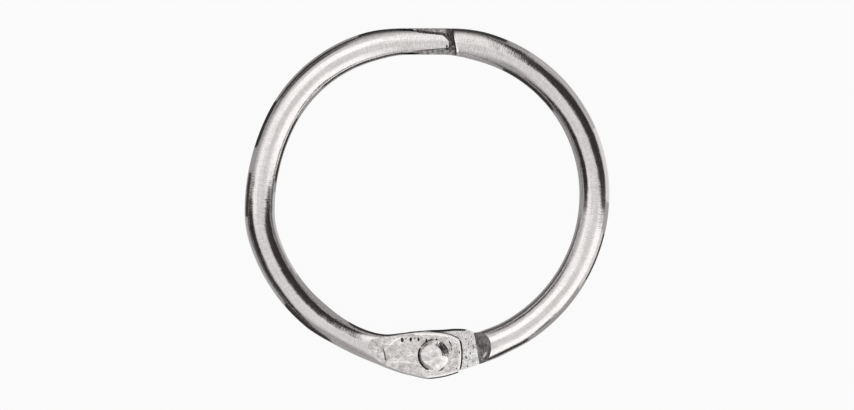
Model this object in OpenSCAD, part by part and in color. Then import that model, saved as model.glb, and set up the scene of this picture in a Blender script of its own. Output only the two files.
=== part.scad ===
// Hinged loose-leaf ring, closed and lying flat.
// Two bent wire halves turn on a rivet at the bottom and meet at the top, where a
// tapered tongue on the left half lies in an open cradle on the right half.
// +X is to the right, +Y runs from the hinge to the closure and +Z is up. The origin is
// under the middle of the ring, on the surface that it lies on. All sizes are in millimetres.

/* [Wire] */
// Diameter of the round wire
wire_d = 3.1; // [2.8:0.1:3.4]
// Main bend of the right half, to the middle of the wire
bend_r = 15.9; // [14:0.1:20]
// Length of the straight stretch between the bends, at the closure
closure_flat = 3.4; // [3:0.1:3.8]
// Width of the wire where it is pressed at the closure
tip_w = 2.74; // [2.6:0.02:2.8]
// Length of bend over which the wire narrows to its pressed tip
tip_run = 4.5; // [3:0.5:6]

/* [Hinge] */
// Hinge axis, to the right of the middle of the ring
hinge_x = 0.75; // [0:0.05:1.5]
// Hinge axis, below the end of the right half's bend
hinge_fall = 2.6; // [2.3:0.02:2.9]
// Diameter of the rivet's shank
rivet_d = 2; // [1.6:0.1:2.4]
// Diameter of the rivet's head at its foot
head_d = 3.1; // [2.8:0.1:3.4]
// Diameter of the flat on top of the rivet's head
head_flat_d = 2.16; // [1.6:0.02:2.2]
// Height of the rivet's head, which stands level with the wire
head_h = 0.38; // [0.3:0.02:0.5]
// Distance that the hammered top of the head stands to the left of its foot
head_lean = 0.28; // [0:0.02:0.3]
// Diameter of the rivet's closed tail
tail_d = 2.8; // [2.6:0.1:3]
// Radial clearance of the shank in the lug that turns on it
shank_clear = 0.04; // [0.02:0.01:0.08]
// Gap between the faces that slide on each other at the hinge
lap_gap = 0.04; // [0.02:0.01:0.08]
// Reach of each lug past the hinge axis
lug_reach = 2.8; // [2.6:0.1:3]
// Radius of the convex end of each lug
lug_end_r = 6; // [4:0.5:8]
// Distance from the hinge axis to the foot of each half's slanted shoulder
shoulder_reach = 4.58; // [4.3:0.02:4.8]
// Slope of the shoulder
shoulder_slope = 46; // [40:1:55]
// Turn of the shoulder in plan, square to the wire
shoulder_turn = 7; // [0:1:12]
// Distance from the hinge axis to the foot of the scarf that runs up to the crown
scarf_reach = 5.1; // [4.8:0.1:5.6]
// Slope of the scarf
scarf_slope = 9.5; // [8:0.5:14]

/* [Closure] */
// Distance from the middle of the closure to the joint, to the left
joint_x = 1.17; // [1:0.01:1.3]
// Length of the tongue past the joint
tongue_len = 3.7; // [3.5:0.05:3.9]
// Distance over which the tongue's sides run out into the wire
tongue_blend = 1.05; // [0.8:0.05:1.2]
// Width of the tongue at the joint
tongue_root_w = 2.12; // [2:0.02:2.2]
// Width of the tongue past its first taper
tongue_mid_w = 1.76; // [1.6:0.02:1.9]
// Distance from the joint to the end of that taper
tongue_mid_x = 1; // [0.8:0.1:1.2]
// Width of the tongue where its tip begins
tongue_tip_w = 1.36; // [1.2:0.02:1.5]
// Size of the corner cut off the outer side of the tip
tip_corner = 0.75; // [0.5:0.05:0.8]
// Gap between the tip and the cradle's shoulder
tip_gap = 0.46; // [0.36:0.02:0.5]
// Depth of the relief past the tip, below the rims
relief_depth = 0.35; // [0.25:0.05:0.5]
// Tilt of the cradle's shoulder in plan
cradle_tilt = 7; // [0:1:10]
// Height of the cradle's rims above the middle of the wire
rim_rise = 0.1; // [0:0.05:0.2]
// Depth of the tongue's keel below the rims
keel_depth = 0.65; // [0.5:0.05:0.8]
// Clearance on each side of the tongue
side_clear = 0.1; // [0.08:0.01:0.14]
// Clearance between the faces that meet at the joint
joint_clear = 0.03; // [0.02:0.01:0.05]
// Gap under the keel, which the locking tooth passes through
keel_gap = 0.26; // [0.24:0.02:0.3]
// Height of the locking tooth on the cradle's floor
tooth_h = 0.2; // [0.1:0.02:0.2]
// Distance from the tip back to the locking tooth
tooth_back = 1.5; // [1.2:0.1:1.8]

/* [Hidden] */

$fn = 96;
wire_r = wire_d / 2;
over = 0.65 * wire_r;
far = 6.5 * wire_r;
tip_r = tip_w / 2;
mid_z = wire_r;
// What a pressed lug stands past its flat face and its convex end, before both are cut
face_spare = 0.02 * wire_r;
end_spare = 0.2 * wire_r;
raw_half_t = mid_z - head_h + face_spare;
raw_end = -(lug_reach + end_spare) / wire_r;
corner_steps = 6;
tip_steps = 6;
root_steps = 14;
lug_steps = 9;
turn_step = 5;

// Each half's bends from the closure down to the hinge: degrees of turn, and the
// radius as a multiple of the main bend's
LEFT_BENDS = [[64, 0.935], [26, 1.34], [17, 0.58], [34, 1.07]];
RIGHT_BENDS = [[94, 1], [54, 1.05]];

// The pressed root and lug of each half, in rows: distance before the hinge axis,
// half-width on the side of the ring's middle, half-width on the other side, how far the
// wire is pressed flat (0 for round wire, 1 for the lug) and corner radius. Distances,
// widths and corners are multiples of the wire's radius
lug_spread = 1.6;
LEFT_ROOT = [
    [6.2, 0.90, 0.90, 0.03, 0.90],
    [4.8, 0.92, 0.92, 0.14, 0.84],
    [3.6, 1.07, 0.98, 0.43, 0.52],
    [2.6, 1.37, 1.14, 0.86, 0.32],
    [1.55, 1.56, 1.37, 1, 0.23],
    [0.5, lug_spread, lug_spread, 1, 0.21],
    [-0.5, 1.52, 1.51, 1, 0.19],
    [-1.2, 1.37, 1.33, 1, 0.19],
    [raw_end, 0.97, 1.05, 1, 0.19]
];
RIGHT_ROOT = [
    [4.8, 0.98, 0.99, 0, 0.97],
    [3.8, 0.99, 1.06, 0, 0.97],
    [3.0, 1.01, 1.10, 0.14, 0.77],
    [2.4, 1.35, 1.16, 0.71, 0.39],
    [1.55, 1.46, 1.35, 1, 0.21],
    [0.5, 1.39, 1.52, 1, 0.19],
    [-0.5, 1.35, 1.48, 1, 0.19],
    [-1.4, 1.23, 1.29, 1, 0.19],
    [raw_end, 0.90, 0.97, 1, 0.19]
];
// Where each lug's straight part begins, before the hinge axis
lug_run = 1.55 * wire_r;
// Height of each lug's middle line above the hinge axis
left_rise = 0;
right_rise = 0.29 * wire_r;
// How far each root's curve follows the wire, and then the lug, in wire radii
LEFT_PULL = [2.1, 1.9];
RIGHT_PULL = [1.2, 1.2];

// Point at a turn of h degrees on a clockwise bend that starts at [0, 0] along +X
function turned(h, r) = [r * sin(h), -r * (1 - cos(h))];

// Point where the bends reach a given turn
function along(bends, turn, p = [0, 0], h = 0, i = 0) =
    i >= len(bends) || turn <= h ? p :
    let (r = bends[i][1] * bend_r, to = min(turn, h + bends[i][0]))
    along(bends, turn, p + turned(to, r) - turned(h, r), h + bends[i][0], i + 1);

// Turn of the first n bends
function turn_of(bends, n) = n <= 0 ? 0 : bends[n - 1][0] + turn_of(bends, n - 1);

left_span = along(LEFT_BENDS, 90)[0];
right_span = along(RIGHT_BENDS, 90)[0];
closure_x = (left_span - right_span) / 2;
hinge_drop = hinge_fall - along(RIGHT_BENDS, turn_of(RIGHT_BENDS, len(RIGHT_BENDS)))[1];
closure_y = (hinge_drop + lug_spread * wire_r - tip_r) / 2;
hinge_y = closure_y - hinge_drop;
joint = closure_x - joint_x;
tip = joint + tongue_len;
rim_z = mid_z + rim_rise;
keel_z = rim_z - keel_depth;
floor_z = keel_z - keel_gap;
relief_z = rim_z - relief_depth;
tooth_x = tip - tooth_back;

// Value of one column at distance d before the hinge axis, on a smooth curve through the rows
function row_at(rows, d, i = 0) = i >= len(rows) - 2 || d >= rows[i + 1][0] ? i : row_at(rows, d, i + 1);
function slope(rows, i, col) =
    let (a = rows[max(i - 1, 0)], b = rows[min(i + 1, len(rows) - 1)])
    (b[col] - a[col]) / (b[0] - a[0]);
function value(rows, d, col) =
    let (i = row_at(rows, d), a = rows[i], b = rows[i + 1])
    let (run = b[0] - a[0], f = (d - a[0]) / run)
    a[col] * (1 + 2 * f) * (1 - f) * (1 - f)
        + b[col] * (3 - 2 * f) * f * f
        + run * f * (1 - f) * ((1 - f) * slope(rows, i, col) - f * slope(rows, i + 1, col));

// One cross-section, a rectangle with round corners across the wire at p, heading h
function section(p, h, inner, outer, half_t, corner) =
    let (r = min(corner, half_t, (inner + outer) / 2))
    [for (q = [0:3]) for (k = [0:corner_steps - 1])
        let (a = 90 * (q + (k + 0.5) / corner_steps))
        let (u = (q == 0 || q == 3 ? inner - r : r - outer) + r * cos(a))
        let (v = (q < 2 ? half_t - r : r - half_t) + r * sin(a))
        [p[0] - u * sin(h), p[1] - u * cos(h), mid_z + v]];

// The pressed tip, from x = tip_x to the first bend and over part of it
function tip_sections(start, tip_x, r, turn) = concat(
    [for (x = [tip_x, start[0]]) section([x, start[1]], 0, tip_r, tip_r, wire_r, tip_r)],
    [for (i = [1:tip_steps])
        let (f = i / tip_steps, w = tip_r + (wire_r - tip_r) * f * f * (3 - 2 * f))
        section(start + turned(f * turn, r), f * turn, w, w, wire_r, w)]);

// The round wire along its bends, from a turn of h degrees to just before their end
function wire_sections(start, bends, h) =
    let (full = turn_of(bends, len(bends)), n = ceil((full - h) / turn_step))
    [for (i = [1:n - 1])
        let (turn = h + (full - h) * i / n)
        section(start + along(bends, turn), turn, wire_r, wire_r, wire_r, wire_r)];

// The pressed root and lug, from the end of the bends at p0 to past the hinge
function root_sections(p0, h0, hinge, rows, pull, rise) =
    let (first = [(p0[0] - hinge[0]) / wire_r, 1, 1, 0, 1])
    let (all_rows = concat([first], rows))
    let (p3 = hinge + [lug_run, rise])
    let (p1 = p0 + pull[0] * wire_r * [cos(h0), -sin(h0)], p2 = p3 + [pull[1] * wire_r, 0])
    concat(
        [for (i = [0:root_steps])
            let (f = i / root_steps, g = 1 - f)
            let (p = g * g * g * p0 + 3 * g * g * f * p1 + 3 * g * f * f * p2 + f * f * f * p3)
            let (v = g * g * (p1 - p0) + 2 * g * f * (p2 - p1) + f * f * (p3 - p2))
            placed(all_rows, p, atan2(-v[1], v[0]), (p[0] - hinge[0]) / wire_r)],
        [for (i = [1:lug_steps])
            let (p = p3 - [(lug_run - raw_end * wire_r) * i / lug_steps, 0])
            placed(all_rows, p, 180, (p[0] - hinge[0]) / wire_r)]);
function placed(rows, p, h, d) =
    let (inner = value(rows, d, 1) * wire_r, outer = value(rows, d, 2) * wire_r)
    let (half_t = wire_r - value(rows, d, 3) * (wire_r - raw_half_t))
    section(p, h, inner, outer, half_t, value(rows, d, 4) * wire_r);

// A solid skin over a row of cross-sections
module loft(rings) {
    n = len(rings[0]);
    last = len(rings) - 1;
    sides = [for (j = [0:last - 1]) for (k = [0:n - 1])
        let (a = j * n + k, b = j * n + (k + 1) % n)
        each [[a, b, b + n], [a, b + n, a + n]]];
    ends = [[for (k = [n - 1:-1:0]) k], [for (k = [0:n - 1]) last * n + k]];
    polyhedron([for (ring = rings) each ring], concat(sides, ends), convexity = 6);
}

// One half before its closure is cut, with its lug in the lower half of the wire
module half_blank(start, tip_x, hinge, bends, rows, pull, rise, bore_r) {
    tip_turn = tip_run / (bends[0][1] * bend_r) * 180 / PI;
    full_turn = turn_of(bends, len(bends));
    difference() {
        loft(concat(
            tip_sections(start, tip_x, bends[0][1] * bend_r, tip_turn),
            wire_sections(start, bends, tip_turn),
            root_sections(start + along(bends, full_turn), full_turn, hinge, rows, pull, rise)));
        translate([hinge[0], hinge[1], 0]) {
            lap_cut();
            scarf_cut();
            lug_end_cut();
            translate([0, 0, -over])
                cylinder(r = bore_r, h = wire_d + 2 * over);
        }
    }
}

// Space for the other half's lug, up to the slanted shoulder
module lap_cut() {
    rise = wire_d + over - mid_z;
    rotate([0, 0, shoulder_turn])
        translate([0, far / 2, mid_z - lap_gap / 2])
            rotate([90, 0, 0])
                linear_extrude(far)
                    polygon([
                        [-far, 0],
                        [shoulder_reach, 0],
                        [shoulder_reach + rise / tan(shoulder_slope), rise],
                        [-far, rise]
                    ]);
}

// Flat of the lug's outer face, and the scarf that joins it to the wire's crown
module scarf_cut() {
    translate([0, far / 2, head_h])
        rotate([90, 0, 0])
            linear_extrude(far)
                polygon([
                    [-far, 0],
                    [scarf_reach, 0],
                    [scarf_reach + (head_h + over) / tan(scarf_slope), -head_h - over],
                    [-far, -head_h - over]
                ]);
}

// Everything past the lug's convex end, cut within the half of its radius that holds the end
module lug_end_cut() {
    difference() {
        translate([-lug_reach - far, -far / 2, -over])
            cube([far + lug_end_r / 2, far, wire_d + 2 * over]);
        translate([lug_end_r - lug_reach, 0, -2 * over])
            cylinder(r = lug_end_r, h = wire_d + 4 * over);
    }
}

// Outline of the tongue in plan, grown by g on each side
module tongue_plan(g) {
    translate([joint, closure_y])
        polygon([
            [-tongue_blend, tip_r + g],
            [0, tongue_root_w / 2 + g],
            [tongue_mid_x, tongue_mid_w / 2 + g],
            [tongue_len - tip_corner, tongue_tip_w / 2 + g],
            [tongue_len + g, tongue_tip_w / 2 - tip_corner],
            [tongue_len + g, -tongue_tip_w / 2 - g],
            [tongue_mid_x, -tongue_mid_w / 2 - g],
            [0, -tongue_root_w / 2 - g],
            [-tongue_blend, -tip_r - g]
        ]);
}

module left_half() {
    color("silver")
        difference() {
            translate([0, 0, wire_d])
                rotate([0, 180, 0])
                    half_blank(
                        [closure_flat / 2 - closure_x, closure_y], -tip, [-hinge_x, hinge_y],
                        LEFT_BENDS, LEFT_ROOT, LEFT_PULL, left_rise, rivet_d / 2);
            // Sides of the tongue above the rims
            difference() {
                translate([joint - tongue_blend, closure_y - far / 2, rim_z])
                    cube([far, far, wire_d]);
                translate([0, 0, rim_z - over])
                    linear_extrude(wire_d + 2 * over)
                        tongue_plan(0);
            }
            // Sides and underside of the keel
            difference() {
                translate([joint, closure_y - far / 2, -over])
                    cube([far, far, rim_z + over]);
                translate([0, 0, keel_z])
                    linear_extrude(wire_d)
                        tongue_plan(0);
            }
            // Notch over the locking tooth
            translate([tooth_x, closure_y + far / 2, keel_z])
                rotate([90, 0, 0])
                    cylinder(r = tooth_h + joint_clear, h = far);
        }
}

module right_half() {
    shoulder_x = tip + tip_gap;
    color("silver")
        union() {
            difference() {
                half_blank(
                    [closure_x + closure_flat / 2, closure_y], joint + joint_clear,
                    [hinge_x, hinge_y], RIGHT_BENDS, RIGHT_ROOT, RIGHT_PULL, right_rise,
                    rivet_d / 2 + shank_clear);
                // Front of the cradle, up to its shoulder
                translate([shoulder_x, closure_y, rim_z])
                    rotate([0, 0, cradle_tilt])
                        translate([-far, -far / 2, 0])
                            cube([far, far, wire_d]);
                // Trough for the keel
                translate([0, 0, floor_z])
                    linear_extrude(wire_d)
                        tongue_plan(side_clear);
                // Relief between the tip and the shoulder, open to the outside
                intersection() {
                    translate([tip - tip_corner / 2, closure_y - tongue_tip_w / 2 - side_clear, relief_z])
                        cube([far, far, wire_d]);
                    translate([shoulder_x, closure_y, relief_z])
                        rotate([0, 0, cradle_tilt])
                            translate([-far, -far / 2, 0])
                                cube([far, far, wire_d]);
                }
            }
            // Locking tooth across the trough's floor
            intersection() {
                translate([tooth_x, closure_y + far / 2, floor_z])
                    rotate([90, 0, 0])
                        cylinder(r = tooth_h, h = far);
                linear_extrude(rim_z)
                    tongue_plan(side_clear + joint_clear);
            }
        }
}

module hinge_rivet() {
    shank_top = wire_d - head_h;
    edge_h = head_h / 10;
    color("gainsboro")
        translate([hinge_x, hinge_y, 0]) {
            cylinder(r1 = tail_d / 2 - head_h, r2 = tail_d / 2, h = head_h - lap_gap);
            cylinder(r = rivet_d / 2, h = shank_top);
            // Hammered head, between its round edge and its leaning flat
            hull() {
                translate([0, 0, shank_top])
                    cylinder(r = head_d / 2, h = edge_h);
                translate([-head_lean, 0, wire_d - edge_h])
                    cylinder(r = head_flat_d / 2, h = edge_h);
            }
        }
}

left_half();
right_half();
hinge_rivet();
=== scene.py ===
"""Looks of a closed, hinged binder ring in nickel-plated steel.

Pieces are modelled in millimetres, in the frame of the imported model. finished() turns them into
metres.
"""

import math

import bmesh
import bpy
from mathutils import Matrix, Vector


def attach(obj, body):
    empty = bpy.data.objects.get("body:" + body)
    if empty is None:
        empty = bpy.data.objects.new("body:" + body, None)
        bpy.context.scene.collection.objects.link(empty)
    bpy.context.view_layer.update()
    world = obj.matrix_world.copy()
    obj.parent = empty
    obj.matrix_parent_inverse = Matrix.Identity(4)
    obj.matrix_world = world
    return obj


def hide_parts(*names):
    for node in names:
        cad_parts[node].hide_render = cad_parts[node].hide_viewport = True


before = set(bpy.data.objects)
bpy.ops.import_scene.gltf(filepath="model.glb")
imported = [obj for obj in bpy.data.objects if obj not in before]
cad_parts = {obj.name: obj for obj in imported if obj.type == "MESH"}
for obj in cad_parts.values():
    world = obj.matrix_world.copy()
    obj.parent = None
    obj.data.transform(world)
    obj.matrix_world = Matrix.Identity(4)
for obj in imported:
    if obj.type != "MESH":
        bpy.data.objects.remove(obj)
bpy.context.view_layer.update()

MM = 0.001

# ---------------------------------------------------------------- sizes
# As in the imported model, apart from the lines that say what was packed
WIRE_D = 3.1
WIRE_R = WIRE_D / 2
MID_Z = WIRE_R
BEND_R = 15.9
CLOSURE_FLAT = 3.4
TIP_R = 1.37
TIP_RUN = 4.5

HINGE_X = 0.75
HINGE_FALL = 2.6
RIVET_R = 1.0
HEAD_R = 1.55
HEAD_FLAT_R = 1.08
HEAD_H = 0.38
HEAD_LEAN = 0.28
TAIL_R = 1.4
SHANK_CLEAR = 0.04
LAP_GAP = 0.04
LUG_REACH = 2.8
LUG_END_R = 6.0
SHOULDER_REACH = 4.46  # packed: 4.58
SHOULDER_SLOPE = math.radians(46)
SHOULDER_TURN = math.radians(10)  # packed: 7
SCARF_REACH = 5.1
SCARF_SLOPE = math.radians(9.5)

JOINT_X = 1.17
TONGUE_LEN = 3.7
TONGUE_BLEND = 1.05
TONGUE_ROOT_W = 2.12
TONGUE_MID_W = 1.76
TONGUE_MID_X = 1.0
TONGUE_TIP_W = 1.36
TIP_CORNER = 0.75
TIP_GAP = 0.46
CRADLE_TILT = math.radians(7)
RIM_Z = MID_Z + 0.1
KEEL_Z = RIM_Z - 0.65
FLOOR_Z = KEEL_Z - 0.26
RELIEF_Z = RIM_Z - 0.35
SIDE_CLEAR = 0.21  # packed: 0.1, on both sides of the tongue
LOW_CLEAR = 0.03
TONGUE_DRAWN_IN = -0.08  # packed: 0
LOW_CORNER = 0.14
CORNER_STEPS = 8
CORNER_FULLNESS = 1.06
CORNER_EASE = 0.85
JOINT_CLEAR = 0.03
END_SLIT = 0.004
SHOULDER_LEAN = 0.2
TOUCH = 0.01
TIP_POCKET = 0.06
RELIEF_START = -TIP_GAP - TIP_CORNER / 2
POCKET_START = -0.76
POCKET_END = -0.44
TONGUE_TOP = 3.0
TOOTH_H = 0.2
TOOTH_BACK = 1.5

# Bends from the closure to the hinge: degrees, and radius as a multiple of BEND_R
LEFT_BENDS = [(64, 0.935), (26, 1.34), (17, 0.58), (34, 1.07)]
RIGHT_BENDS = [(94, 1), (54, 1.05)]

# Rows of the pressed root and lug, in wire radii: distance before the hinge axis, half-width on
# the inside of the ring and on its outside, how flat the wire is pressed (0 to 1), corner radius
LUG_SPREAD = 1.6
FACE_SPARE = 0.02 * WIRE_R
END_SPARE = 0.2 * WIRE_R
RAW_HALF_T = MID_Z - HEAD_H + FACE_SPARE
RAW_END = -(LUG_REACH + END_SPARE) / WIRE_R
LEFT_ROOT = [
    (6.2, 0.90, 0.90, 0.03, 0.90),
    (4.8, 0.92, 0.92, 0.14, 0.84),
    (3.6, 1.07, 0.98, 0.43, 0.52),
    (2.6, 1.37, 1.14, 0.86, 0.32),
    (1.55, 1.56, 1.37, 1, 0.23),
    (0.5, LUG_SPREAD, LUG_SPREAD, 1, 0.21),
    (-0.5, 1.52, 1.51, 1, 0.19),
    (-1.2, 1.37, 1.33, 1, 0.19),
    (RAW_END, 0.97, 1.05, 1, 0.19),
]
RIGHT_ROOT = [
    (4.8, 0.98, 0.99, 0, 0.97),
    (3.8, 0.99, 1.06, 0, 0.97),
    (3.0, 1.01, 1.10, 0.14, 0.77),
    (2.4, 1.35, 1.16, 0.71, 0.39),
    (1.55, 1.46, 1.35, 1, 0.21),
    (0.5, 1.39, 1.52, 1, 0.19),
    (-0.5, 1.35, 1.48, 1, 0.19),
    (-1.4, 1.23, 1.29, 1, 0.19),
    (RAW_END, 0.90, 0.97, 1, 0.19),
]
LUG_RUN = 1.55 * WIRE_R
LEFT_RISE, RIGHT_RISE = 0, 0.29 * WIRE_R
LEFT_PULL, RIGHT_PULL = (2.1, 1.9), (1.2, 1.2)

# Fineness of the meshes
SIDES = 96
TURN_STEP = 1.5
TIP_STEPS = 12
ROOT_STEPS = 44
LUG_STEPS = 26
FAR = 10
OVER = 1
SMOOTH_BELOW = math.radians(8)
FLAT_ABOVE = 0.02 * MM * MM


# ---------------------------------------------------------------- paths and cross-sections
def turned(turn, radius):
    """Point at a turn, in degrees, on a clockwise bend that starts along +X."""
    a = math.radians(turn)
    return Vector((radius * math.sin(a), -radius * (1 - math.cos(a))))


def along(bends, turn):
    """Point where the bends reach a turn."""
    point, start = Vector((0, 0)), 0
    for degrees, share in bends:
        if turn <= start:
            break
        stop = min(turn, start + degrees)
        point += turned(stop, share * BEND_R) - turned(start, share * BEND_R)
        start += degrees
    return point


def full_turn(bends):
    return sum(degrees for degrees, share in bends)


def row_value(rows, d, column):
    """Smooth curve through one column of rows, at distance d before the hinge axis."""
    last = len(rows) - 1
    i = next((k for k in range(last - 1) if d >= rows[k + 1][0]), last - 1)

    def slope(k):
        a, b = rows[max(k - 1, 0)], rows[min(k + 1, last)]
        return (b[column] - a[column]) / (b[0] - a[0])

    a, b = rows[i], rows[i + 1]
    run = b[0] - a[0]
    f = (d - a[0]) / run
    g = 1 - f
    return (
        a[column] * (1 + 2 * f) * g * g
        + b[column] * (3 - 2 * f) * f * f
        + run * f * g * (g * slope(i) - f * slope(i + 1))
    )


def station(point, turn, inner, outer, half_t, corner):
    return (point[0], point[1], math.radians(turn), inner, outer, half_t, corner)


def half_stations(start, tip_x, hinge, bends, rows, pull, rise):
    """Cross-sections of one half, from its tip at x = tip_x round to the end of its lug."""
    first_r = bends[0][1] * BEND_R
    tip_turn = math.degrees(TIP_RUN / first_r)
    total = full_turn(bends)
    found = [
        station((x, start[1]), 0, TIP_R, TIP_R, WIRE_R, TIP_R)
        for x in (tip_x, start[0])
    ]
    for i in range(1, TIP_STEPS + 1):
        f = i / TIP_STEPS
        w = TIP_R + (WIRE_R - TIP_R) * f * f * (3 - 2 * f)
        found.append(station(start + turned(f * tip_turn, first_r), f * tip_turn, w, w, WIRE_R, w))
    steps = math.ceil((total - tip_turn) / TURN_STEP)
    for i in range(1, steps):
        turn = tip_turn + (total - tip_turn) * i / steps
        found.append(station(start + along(bends, turn), turn, WIRE_R, WIRE_R, WIRE_R, WIRE_R))

    p0 = start + along(bends, total)
    rows = [((p0[0] - hinge[0]) / WIRE_R, 1, 1, 0, 1)] + rows
    p3 = hinge + Vector((LUG_RUN, rise))
    h0 = math.radians(total)
    p1 = p0 + pull[0] * WIRE_R * Vector((math.cos(h0), -math.sin(h0)))
    p2 = p3 + Vector((pull[1] * WIRE_R, 0))

    def placed(point, turn):
        d = (point[0] - hinge[0]) / WIRE_R
        pressed = row_value(rows, d, 3)
        return station(
            point, turn, row_value(rows, d, 1) * WIRE_R, row_value(rows, d, 2) * WIRE_R,
            WIRE_R - pressed * (WIRE_R - RAW_HALF_T), row_value(rows, d, 4) * WIRE_R,
        )

    for i in range(ROOT_STEPS + 1):
        f = i / ROOT_STEPS
        g = 1 - f
        point = g**3 * p0 + 3 * g * g * f * p1 + 3 * g * f * f * p2 + f**3 * p3
        way = g * g * (p1 - p0) + 2 * g * f * (p2 - p1) + f * f * (p3 - p2)
        found.append(placed(point, math.degrees(math.atan2(-way[1], way[0]))))
    for i in range(1, LUG_STEPS + 1):
        found.append(placed(p3 - Vector(((LUG_RUN - RAW_END * WIRE_R) * i / LUG_STEPS, 0)), 180))
    return found


# ---------------------------------------------------------------- meshes
def section_point(where, side):
    """Point of a cross-section, a rectangle with round corners, at one of SIDES sides."""
    x, y, turn, inner, outer, half_t, corner = where
    r = min(corner, half_t, (inner + outer) / 2)
    a = 2 * math.pi * (side + 0.5) / SIDES
    inside = side < SIDES / 4 or side >= 3 * SIDES / 4
    u = (inner - r if inside else r - outer) + r * math.cos(a)
    v = (half_t - r if side < SIDES / 2 else r - half_t) + r * math.sin(a)
    return Vector((x - u * math.sin(turn), y - u * math.cos(turn), MID_Z + v))


def grown_rim(bm, edges):
    """Extrudes an open rim once, and gives the new rim's corners and edges."""
    grown = bmesh.ops.extrude_edge_only(bm, edges=edges)["geom"]
    ring = [g for g in grown if isinstance(g, bmesh.types.BMVert)]
    rim = [g for g in grown
           if isinstance(g, bmesh.types.BMEdge) and all(v in ring for v in g.verts)]
    return ring, rim


def close_ends(bm):
    bmesh.ops.holes_fill(bm, edges=[e for e in bm.edges if e.is_boundary], sides=0)
    bmesh.ops.recalc_face_normals(bm, faces=bm.faces)


def swept(stations):
    """A closed skin over a row of cross-sections, with its length and girth in a UV map."""
    bm = bmesh.new()
    side = bm.verts.layers.int.new("side")
    row = bm.verts.layers.int.new("row")
    ring = bmesh.ops.create_circle(bm, segments=SIDES, radius=1)["verts"]
    for k, vert in enumerate(ring):
        vert[side] = k
    edges = list(bm.edges)
    for i, where in enumerate(stations):
        if i:
            ring, edges = grown_rim(bm, edges)
        for vert in ring:
            vert[row] = i
            vert.co = section_point(where, vert[side])
    close_ends(bm)

    reach = [0.0]
    for a, b in zip(stations, stations[1:]):
        reach.append(reach[-1] + math.dist(a[:2], b[:2]))
    girth = 2 * math.pi * WIRE_R / SIDES
    uv = bm.loops.layers.uv.new("wire")
    for face in bm.faces:
        sides = [vert[side] for vert in face.verts]
        wraps = len(sides) == 4 and max(sides) - min(sides) > SIDES / 2
        for loop in face.loops:
            k = loop.vert[side]
            if wraps and k < SIDES / 2:
                k += SIDES
            loop[uv].uv = (reach[loop.vert[row]], k * girth)
    return bm


def prism(outline, z0, z1):
    """An upright prism on an outline in the XY plane."""
    bm = bmesh.new()
    face = bm.faces.new([bm.verts.new((x, y, z0)) for x, y in outline])
    top = bmesh.ops.extrude_face_region(bm, geom=[face])["geom"]
    raised = [g for g in top if isinstance(g, bmesh.types.BMVert)]
    bmesh.ops.translate(bm, verts=raised, vec=(0, 0, z1 - z0))
    bmesh.ops.recalc_face_normals(bm, faces=bm.faces)
    return bm


def slab(profile, turn=0.0):
    """A prism along Y on a profile in the XZ plane, turned in plan."""
    bm = prism([(x, -z) for x, z in profile], -FAR / 2, FAR / 2)
    matrix = Matrix.Rotation(turn, 4, "Z") @ Matrix.Rotation(-math.pi / 2, 4, "X")
    bmesh.ops.transform(bm, matrix=matrix, verts=bm.verts)
    return bm


def barrel(radius, length, x, z):
    """A cylinder along Y."""
    bm = bmesh.new()
    bmesh.ops.create_cone(
        bm, cap_ends=True, segments=SIDES, radius1=radius, radius2=radius, depth=length)
    matrix = Matrix.Translation((x, 0, z)) @ Matrix.Rotation(math.pi / 2, 4, "X")
    bmesh.ops.transform(bm, matrix=matrix, verts=bm.verts)
    return bm


def post(radius1, radius2, z0, z1, x=0.0, y=0.0, segments=SIDES):
    """An upright cone or cylinder."""
    bm = bmesh.new()
    bmesh.ops.create_cone(
        bm, cap_ends=True, segments=segments, radius1=radius1, radius2=radius2, depth=z1 - z0)
    bmesh.ops.translate(bm, verts=bm.verts, vec=(x, y, (z0 + z1) / 2))
    return bm


def made(name, bm, material=None):
    """A new object from a bmesh."""
    mesh = bpy.data.meshes.new(name)
    bm.to_mesh(mesh)
    bm.free()
    thing = bpy.data.objects.new(name, mesh)
    bpy.context.scene.collection.objects.link(thing)
    if material:
        mesh.materials.append(material)
    return thing


def joined(thing, other, operation="DIFFERENCE"):
    """The boolean of thing with other, kept in thing. The other object is used up."""
    boolean = thing.modifiers.new("joined", "BOOLEAN")
    boolean.operation = operation
    boolean.solver = "MANIFOLD"
    boolean.material_mode = "TRANSFER"
    boolean.object = other
    shape = thing.evaluated_get(bpy.context.evaluated_depsgraph_get())
    mesh = bpy.data.meshes.new_from_object(shape)
    thing.modifiers.clear()
    old = thing.data
    thing.data = mesh
    bpy.data.meshes.remove(old)
    bpy.data.objects.remove(other)
    return thing


def moved(bm, x, y, z=0.0):
    bmesh.ops.translate(bm, verts=bm.verts, vec=(x, y, z))
    return bm


def bead(points, z, width, height):
    """A diamond-shaped bar along points in plan, thinner at its ends, for a ridge or a groove."""
    bm = bmesh.new()
    side = bm.verts.layers.int.new("side")
    ring = bmesh.ops.create_circle(bm, segments=4, radius=1)["verts"]
    for k, vert in enumerate(ring):
        vert[side] = k
    edges = list(bm.edges)
    corners = [(0.5, 0), (0, 1), (-0.5, 0), (0, -1)]
    last = len(points) - 1
    for i, point in enumerate(points):
        if i:
            ring, edges = grown_rim(bm, edges)
        way = (Vector(points[min(i + 1, last)]) - Vector(points[max(i - 1, 0)])).normalized()
        share = BEAD_END if i in (0, last) else 1
        turn = math.atan2(way[1], way[0])
        for vert in ring:
            across, up = corners[vert[side]]
            across *= width * share
            vert.co = (point[0] - across * math.sin(turn), point[1] + across * math.cos(turn),
                       z + up * height * share)
    close_ends(bm)
    return bm


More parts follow.
